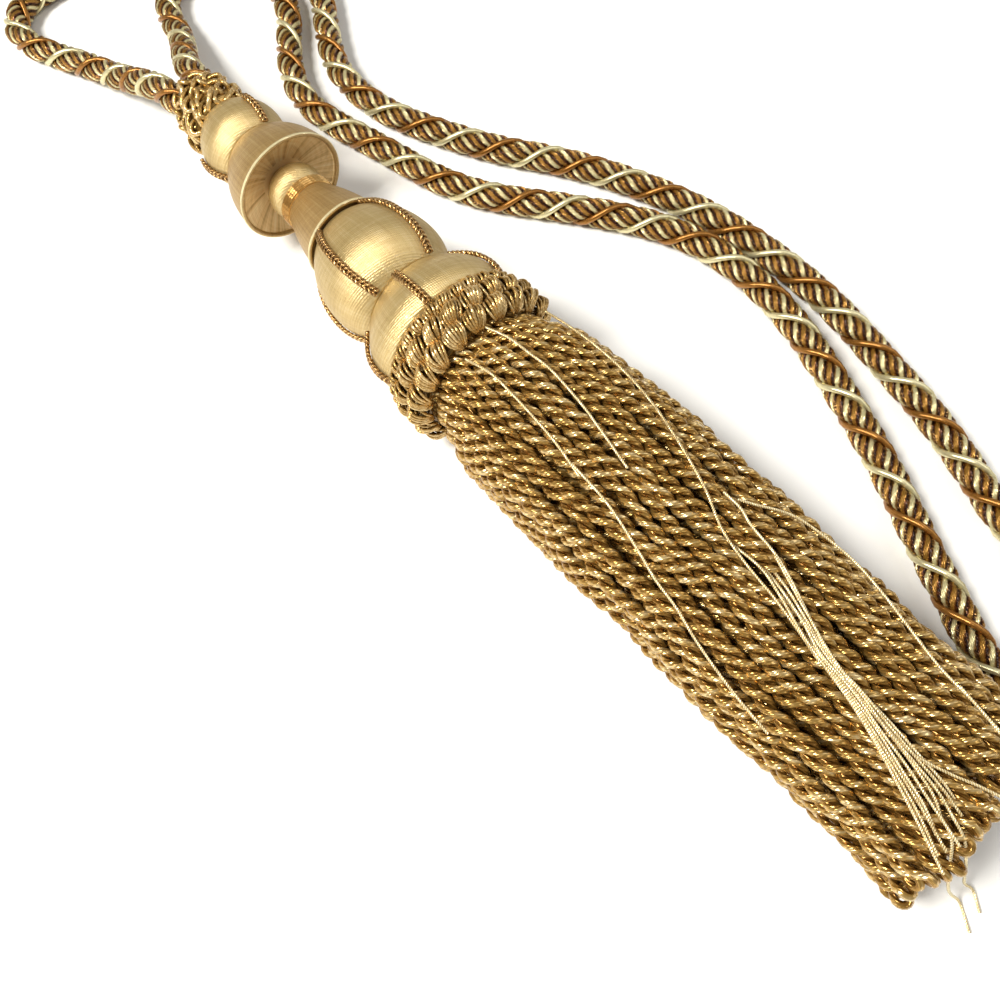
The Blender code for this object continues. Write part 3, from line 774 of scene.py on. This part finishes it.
# %% Looped bunches
LOOP_POINTS, LOOP_ENDS = 13, 0.04  # points on a loop, and t at its two ends
PINCH = 0.30  # a bunch's width at its ends, as a share of its width
UNEVEN_PLACE, UNEVEN_REACH, UNEVEN_LEAN, UNEVEN_X = 0.12, 0.07, 0.14, 0.00015  # spreads


def looped_row(station, half, inner, bulge, bunches, threads, offset, rng, thread, lean, loose=1.0):
    """A ring of bunches. Along a loop t goes from 0 to pi:

    x = station - half cos t, radius = inner + bulge_j sin t, and the place round the ring is
    the bunch's middle plus the thread's own place, times (0.3 + 0.7 sin t), plus a lean.
    bulge_j is largest in the middle of a bunch, and loose is how uneven all of it is.
    """
    t = np.linspace(LOOP_ENDS, math.pi - LOOP_ENDS, LOOP_POINTS)
    shape = (bunches, threads, len(t))
    middle = (np.arange(bunches) + offset)[:, None, None] * 2 * math.pi / bunches
    middle = middle + rng.normal(0.0, UNEVEN_PLACE / bunches, (bunches, 1, 1))
    place = np.linspace(-1.0, 1.0, threads)[None, :, None]
    reach = 1 + rng.normal(0.0, UNEVEN_REACH * loose, (bunches, threads, 1))
    reach = bulge * (1 - 0.45 * place ** 2) * reach
    slope = lean + rng.normal(0.0, UNEVEN_LEAN * loose, (bunches, 1, 1))
    width = 0.86 * math.pi / bunches
    angle = middle + width * (place * (PINCH + (1 - PINCH) * np.sin(t)) - slope * np.cos(t))
    x = station - half * np.cos(t) + rng.normal(0.0, UNEVEN_X * loose, (bunches, threads, 1))
    line = round_axis(x, inner + reach * np.sin(t), angle)
    line[..., 2] = np.maximum(line[..., 2], thread)
    spoke = np.stack((np.zeros(shape), np.cos(angle), np.sin(angle)), -1)
    out = np.sin(t)[:, None] * spoke - np.cos(t)[:, None] * np.array((1.0, 0.0, 0.0))
    line, out = (array.reshape(-1, len(t), 3) for array in (line, out))
    return tube(line, out, round_section(thread, 7))


def binding(start, end, radius):
    """A plain ring of thread under the loops."""
    return turned(
        ((start, radius - 0.0012), (start, radius), (end, radius), (end, radius - 0.0012)), 72)


# %% Lower ruffs: station, half length, inner radius, bulge, bunches, threads, offset, thread
LOWER_RUFFS = (
    ("ruff_small_row", -0.0262, 0.0021, 0.0240, 0.0032, 30, 5, 0.0, 0.00050),
    ("ruff_upper_row", -0.0210, 0.0037, 0.0232, 0.0058, 20, 8, 0.5, 0.00052),
    ("ruff_lower_row", -0.0147, 0.0037, 0.0230, 0.0062, 20, 8, 0.0, 0.00052),
)
rng = np.random.default_rng(11)
for name, station, half, inner, bulge, bunches, threads, offset, thread in LOWER_RUFFS:
    loops = looped_row(station, half, inner, bulge, bunches, threads, offset, rng, thread, 0.35)
    under = binding(station - 0.8 * half, station + 0.5 * half, inner + 0.0004)
    piece(name + "_loops", [loops, under], antique_gimp, (name,))

# %% Top ruff: station, inner radius, bunches
TOP_RUFF = (
    (-0.1762, 0.0096, 8), (-0.1722, 0.0100, 8), (-0.1682, 0.0106, 9),
    (-0.1643, 0.0112, 9), (-0.1606, 0.0112, 10),
)
rng = np.random.default_rng(5)
curls = [
    looped_row(x, 0.0024, inner, 0.0036, bunches, 2, 0.5 * (number % 2), rng, 0.00098, 0.4, 3.5)
    for number, (x, inner, bunches) in enumerate(TOP_RUFF)
]
ROPE_BINDING = (
    (-0.1778, 0.0085), (-0.1775, 0.0104), (-0.1640, 0.0118), (-0.1590, 0.0122), (-0.1584, 0.0085))
piece(
    "top_ruff_loops", [*curls, turned(ROPE_BINDING, 72)], antique_gimp, ("top_ruff",))

# %% [markdown]
# ## The skirt
#
# A bullion cord is one strand folded in half and left to twist on itself, so it hangs as a
# two-ply cord about 4.5 mm thick with a small loop at its end. A plain twisted tube would
# look cut off, so the strand goes down the cord, round the loop and up again. The cords fill
# the skirt in three layers, evenly spaced round an outline that is flat where it lies.

# %% Skirt layout
SKIRT_START, HALF_LENGTH = -0.0180, 0.17925  # half the tassel's, which is where the skirt ends
SKIRT_SECTIONS = np.array((  # station, half width, top, bottom, sideways place of the middle
    (-0.0180, 0.0217, 0.0487, 0.0053, AXIS_Y),
    (-0.0095, 0.0225, 0.0495, 0.0045, AXIS_Y),
    (0.0060, 0.0285, 0.0535, 0.0000, -0.0012),
    (0.0500, 0.0302, 0.0510, 0.0000, 0.0006),
    (0.1150, 0.0300, 0.0450, 0.0000, 0.0013),
    (HALF_LENGTH, 0.0295, 0.0400, 0.0000, 0.0022),
))
BULLION_PITCH = 0.0112  # one turn of a cord's two plies
CORD_RUN = 0.196  # nearly a cord's length; over a step it gives the rings


def skirt_places(stations, share, count, half):
    """Places of a layer's cords at each station, evenly spaced round a superellipse:

    y = half width |cos a|^p and z = half height |sin a|^p, with the signs of cos and sin.
    Underneath, p goes from a circle's 1 at the ruff to a squarer 2 / 3.4, and on top it is
    nearly 1.
    """
    width, top, bottom, middle = (
        np.interp(stations, SKIRT_SECTIONS[:, 0], column) for column in SKIRT_SECTIONS.T[1:])
    flatness = np.interp(stations, (-0.0095, 0.0060), (2.0, 3.4))[:, None]
    angle = np.linspace(-math.pi / 2, 1.5 * math.pi, 361)[None]
    power = np.where(np.sin(angle) < 0, 2.0 / flatness, 2.0 / 2.1)
    y = np.sign(np.cos(angle)) * np.abs(np.cos(angle)) ** power * ((width - half) * share)[:, None]
    z = np.sign(np.sin(angle)) * np.abs(np.sin(angle)) ** power
    z = z * (((top - bottom) / 2 - half) * share)[:, None]
    run = np.hypot(np.diff(y, axis=1), np.diff(z, axis=1))
    along = np.concatenate((np.zeros((len(y), 1)), np.cumsum(run, axis=1)), axis=1)
    shares = (np.arange(count) + 0.5) / count
    places = np.array([
        (np.interp(shares * s[-1], s, row_y), np.interp(shares * s[-1], s, row_z))
        for s, row_y, row_z in zip(along, y, z)
    ])
    return places[:, 0] + middle[:, None], places[:, 1] + ((top + bottom) / 2)[:, None]


# %% Where the cords hang
LOOP_ROOM = 0.0022  # for the loop at a cord's end
UNEVEN_END, SLANTED_END = 0.0045, 0.0060  # how much shorter a cord may be
STITCHED_TO, LOOSE_AFTER = 0.002, 0.05  # where a cord gets loose, and over what length
SWING_Y, SWING_Z, SWING_LENGTHS = 0.0010, 0.0006, (0.035, 0.075)


def hanging_lines(share, count, ply, rows, rng):
    """The middle line of each cord of a layer: its evenly spaced place, plus a slow wave."""
    stations = np.linspace(SKIRT_START, HALF_LENGTH, 26)
    place_y, place_z = skirt_places(stations, share, count, 2 * ply)
    across = np.clip((place_y[-1] / SKIRT_SECTIONS[-1, 1] + 0.4) / 1.4, 0.0, 1.0)
    reach = HALF_LENGTH - LOOP_ROOM - rng.uniform(0.0, UNEVEN_END, count) - SLANTED_END * across
    x = SKIRT_START + np.linspace(0, 1, rows) * (reach[:, None] - SKIRT_START)
    index = (x - stations[0]) / (stations[1] - stations[0])
    low = np.clip(index.astype(int), 0, len(stations) - 2)
    part, cords = index - low, np.arange(count)[:, None]
    y = (1 - part) * place_y[low, cords] + part * place_y[low + 1, cords]
    z = (1 - part) * place_z[low, cords] + part * place_z[low + 1, cords]
    loose = np.clip((x - STITCHED_TO) / LOOSE_AFTER, 0.0, 1.0)
    period = rng.uniform(*SWING_LENGTHS, (2, count, 1))
    start = rng.uniform(0, 2 * math.pi, (2, count, 1))
    y = y + SWING_Y * loose * np.sin(2 * math.pi * x / period[0] + start[0])
    z = z + SWING_Z * loose * np.sin(2 * math.pi * x / period[1] + start[1])
    return np.stack((x, y, np.maximum(z, 2 * ply)), -1)


# %% Bullion cords
TWIST_WANDER, WANDER_PITCHES = 0.55, 3.3  # radians, and turns of the cord to one wave
LOOP_OPENS = 0.007  # the last stretch of a cord, where its plies part


def bullion_layer(share, count, ply, step, sides, seed):
    """Looped two-ply cords. A ply winds round its cord's line at its own radius; the loop at
    the end is a half circle from one ply to the other, and the other ply goes back up."""
    rng = np.random.default_rng(seed)
    line = hanging_lines(share, count, ply, int(CORD_RUN / step), rng)
    tangent, side, up = line_frame(line)
    pitch = BULLION_PITCH * rng.uniform(0.9, 1.12, (count, 1))
    phase = rng.uniform(0, 2 * math.pi, (count, 1)) + 2 * math.pi * line[..., 0] / pitch
    uneven = np.sin(
        2 * math.pi * line[..., 0] / (WANDER_PITCHES * pitch) + rng.uniform(0, 6.0, (count, 1)))
    phase = phase + TWIST_WANDER * uneven
    opened = np.clip((line[..., 0] - line[:, -1:, 0] + LOOP_OPENS) / LOOP_OPENS, 0.0, 1.0)
    apart = ply * (1.04 + 0.10 * uneven + 0.6 * opened ** 2)
    down, out = wound(line, side, up, apart, phase)
    back, back_out = wound(line, side, up, apart, phase + math.pi)
    bend = np.linspace(0, math.pi, 9)[None, 1:-1, None]
    end_out, end_tangent = out[:, -1:], tangent[:, -1:]
    loop = line[:, -1:] + apart[:, -1:, None] * (
        np.cos(bend) * end_out + 1.3 * np.sin(bend) * end_tangent)
    loop_out = unit(np.cos(bend) * end_out + np.sin(bend) * end_tangent)
    whole = np.concatenate((down, loop, back[:, ::-1]), axis=1)
    outward = np.concatenate((out, loop_out, back_out[:, ::-1]), axis=1)
    return rest_on_floor(tube(whole, outward, round_section(ply * 1.02, sides)))


# %% Make the skirt: each layer's share of the outline, cords, ply, step, sides and seed
LAYERS = (
    (1.00, 38, 0.00114, 0.00125, 7, 21),
    (0.70, 23, 0.00118, 0.0020, 6, 22),
    (0.40, 11, 0.00124, 0.0022, 6, 23),
)
HEADER = ((-0.0226, 0.002), (-0.0226, 0.0222), (-0.0150, 0.0206), (-0.0148, 0.002))
outer, *inner = [bullion_layer(*layer) for layer in LAYERS]
piece("skirt_outer_cords", [outer], bullion_cord, ("skirt",))
piece(
    "skirt_inner_cords", [*inner, turned(HEADER, 72)], bullion_cord, ("skirt",))

# %% [markdown]
# ## Loose strings
#
# A few fine two-ply strings lie loose on the skirt: long strays that come from under the
# ruff, and a bundle of cut ends that fans out towards the skirt's end. No rule gives their
# place, so each follows listed points in millimetres, just above the bullion cords.

# %% Routes of the loose strings
STRAY_ROUTES_MM = (
    ((-9.5, -3, 52.6), (-1.6, -0.9, 53.4), (7.7, -0.6, 54.6), (14.6, 0.2, 54.2),
     (30.5, -1.1, 53.3), (39.5, -2.7, 52.7), (52, -5, 51.6)),
    ((-7, -13.5, 49.5), (3.3, -12.3, 52), (12.7, -12.5, 52.2), (22.9, -12.9, 51.4),
     (32.9, -13.7, 50.5), (44, -15.5, 49)),
    ((-6, 17.5, 44.5), (2.3, 17.8, 46.6), (13.2, 17.9, 48.4), (25.7, 18, 48.3), (40, 15.9, 49.3),
     (56.1, 11.4, 50.2), (70.4, 6.5, 50), (81.5, 1.4, 49.3), (91.7, -0.8, 48.4),
     (104, -2.2, 47.2), (113.2, -3.8, 46.2), (122.6, -5.8, 45.2)),
    ((74, 10, 48.9), (80.5, 9.8, 48.7), (85.3, 8.4, 48.4), (95.6, 7, 47.8), (102.9, 4.8, 47.4),
     (113.6, 0.6, 46.5), (122.6, -2.9, 45.5)),
    ((78, 11.5, 48.2), (82, 14.3, 47), (87.5, 18.9, 44.8), (92.6, 22, 42.6), (108.9, 24.8, 39.4),
     (120.3, 23.1, 39.8), (128.4, 21, 40.4), (143.9, 17.2, 41), (155.7, 16.2, 40.8),
     (166, 14.5, 40.5)),
    ((40, -14.5, 49.6), (55.2, -15.4, 48.4), (70.9, -18.3, 45.4), (78.3, -19.9, 43.6),
     (87, -20.9, 42), (96.5, -22.8, 39.5), (106.2, -24.2, 37.4), (114.8, -25, 35.6),
     (126, -25.5, 33.6)),
    ((96, 6.4, 48.2), (113.2, 0.6, 46.8), (124, -2.6, 45.6), (138.5, -4.8, 44), (151.5, -6, 42.8),
     (161.4, -3.1, 42.4), (168.8, 0.2, 42), (176, 3, 41)),
    ((150, 17, 41), (160.9, 15.5, 40.8), (170, 15, 40), (176, 15.5, 37.5)),
    ((165, -11.5, 40.8), (171.7, -13.4, 39.5), (177.1, -17.5, 33), (182, -17, 20),
     (186, -13.6, 7), (189.8, -11.7, 0.8), (196.1, -15.8, 0.8)),
    ((168, -9.5, 40.6), (174, -11, 38.5), (179.5, -12.5, 30), (184.2, -10, 14), (187.5, -7.5, 3),
     (190, -6.5, 0.8), (194.8, -9.8, 0.8)),
)
BUNDLE_ROUTE_MM = (
    (84, 4.5, 48.8), (96, 3, 48), (104, 0.8, 47.2), (113, -1.6, 46.4), (121.1, -3.9, 45.6),
    (133.4, -5.3, 44.5), (143.9, -7.1, 43.3), (154.2, -8.9, 42.1), (162.9, -10.6, 40.9),
    (172.2, -12.9, 39.4),
)
STRING_RADIUS, STRING_PITCH, STRING_STEP = 0.00045, 0.0014, 0.00018
PINCH_MM, FAN_MM, FAN = 112.0, 56.0, 3.6  # the bundle's waist, half length and spread


def laid_string(points):
    """A two-ply string along a route. Its frame leans a little from straight up, for the
    strings that hang down over the skirt's end."""
    line = smooth_route(np.array(points) * MM, STRING_STEP)
    tangent = unit(np.gradient(line, axis=0))
    side = unit(np.cross((0.2, 0.0, 1.0), tangent))
    return two_ply(line, np.cross(tangent, side), STRING_RADIUS, STRING_PITCH, 6)[None]


def bundle_strings(count, seed):
    """Strings of a bundle, that come up one by one from between the cords. They are pinched
    at 112 mm and fan out to both ends:

    sideways shift = place (1 + 3.6 (x - 112)^2 / 56^2) mm, with place from -1.6 to 1.3.
    """
    rng = np.random.default_rng(seed)
    route = np.array(BUNDLE_ROUTE_MM)
    strings = []
    for place in np.linspace(-1.6, 1.3, count):
        fan = 1.0 + FAN * ((route[:, 0] - PINCH_MM) / FAN_MM) ** 2
        sideways = place * fan + rng.normal(0.0, 0.30, len(route))
        shifted = route + np.stack((0 * sideways, sideways, -0.012 * sideways ** 2), -1)
        shifted[:, 2] += rng.uniform(0.0, 0.9)
        shifted[-1, 0] += rng.uniform(-7.0, 4.0)
        shifted = shifted[rng.integers(0, 5):]
        shifted[0, 2] -= 3.0
        strings.append(laid_string(shifted))
    return strings


strays = [laid_string(route) for route in STRAY_ROUTES_MM]
piece("stray_strings", strays, pale_string)
piece("string_bundle", bundle_strings(9, 31), pale_string)

# %% [markdown]
# ## Studio
#
# A pale floor, one soft light from the near side that runs a bright band round each mould, a
# weaker one from the far side, and a dim pale sky that leaves the hollows dark. A bright sky
# would be simpler, but satin under an even sky shows no band at all.

# %% Floor
FLOOR_Z, FLOOR_HALF = -0.0002, 6
floor_mesh = bpy.data.meshes.new("floor")
floor_corners = [
    (x * FLOOR_HALF, y * FLOOR_HALF, FLOOR_Z) for x, y in ((-1, -1), (1, -1), (1, 1), (-1, 1))]
floor_mesh.from_pydata(floor_corners, [], [(0, 1, 2, 3)])
floor = bpy.data.objects.new("floor", floor_mesh)
bpy.context.scene.collection.objects.link(floor)
floor_paper, _, _ = new_material("matt_white_paper", {
    "Base Color": linear("#F6F5F2"), "Roughness": 0.9})
floor_mesh.materials.append(floor_paper)
print("floor at", FLOOR_Z)


# %% Lights and sky
TASSEL_MIDDLE = np.array((0.0, 0.0, 0.02))


def soft_light(name, place, size, watts, colour):
    """A square area light that faces the middle of the tassel."""
    data = bpy.data.lights.new(name, "AREA")
    data.size, data.energy, data.color = size, watts, linear(colour)[:3]
    back = unit(np.array(place) - TASSEL_MIDDLE)
    across = unit(np.cross((0.0, 0.0, 1.0), back))
    stand(bpy.data.objects.new(name, data), across, np.cross(back, across), back, place)


soft_light("key_light", (-0.25, -0.70, 1.12), 0.42, 26.0, "#FFFDF8")
soft_light("far_light", (0.5, 0.7, 1.1), 0.9, 5.0, "#FFFFFF")
world = bpy.data.worlds.new("studio")
world.use_nodes = True
sky = world.node_tree.nodes["Background"]
sky.inputs["Color"].default_value = linear("#FBF8F2")
sky.inputs["Strength"].default_value = 0.34
bpy.context.scene.world = world
bpy.context.scene.view_settings.view_transform = "Standard"
print("lights:", [item.name for item in bpy.data.lights])
